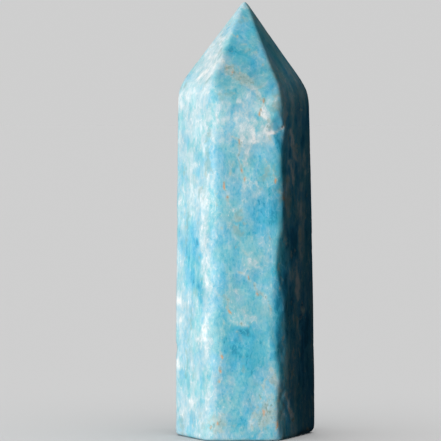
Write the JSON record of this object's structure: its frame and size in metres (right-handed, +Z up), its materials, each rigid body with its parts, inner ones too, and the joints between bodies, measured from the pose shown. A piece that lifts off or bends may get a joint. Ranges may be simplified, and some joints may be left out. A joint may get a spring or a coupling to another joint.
{
  "type": "polished apatite wand",
  "caption": "A hand-polished blue apatite tower: a tapered hexagonal prism with a faceted point and a flat cut base that it stands on.",
  "frame": {"origin": "middle of the flat base, at the height of the surface it stands on", "axes": "+Z runs up the wand to its point, -Y is the front face, +X is to the right seen from the front"},
  "size_m": [0.0282, 0.0249, 0.0876],
  "materials": {
    "polished_apatite": "polished sky-blue stone with white clouds, fine upright streaks and tan veins"
  },
  "bodies": {
    "root": {"apatite_wand": "polished_apatite"}
  },
  "joints": []
}
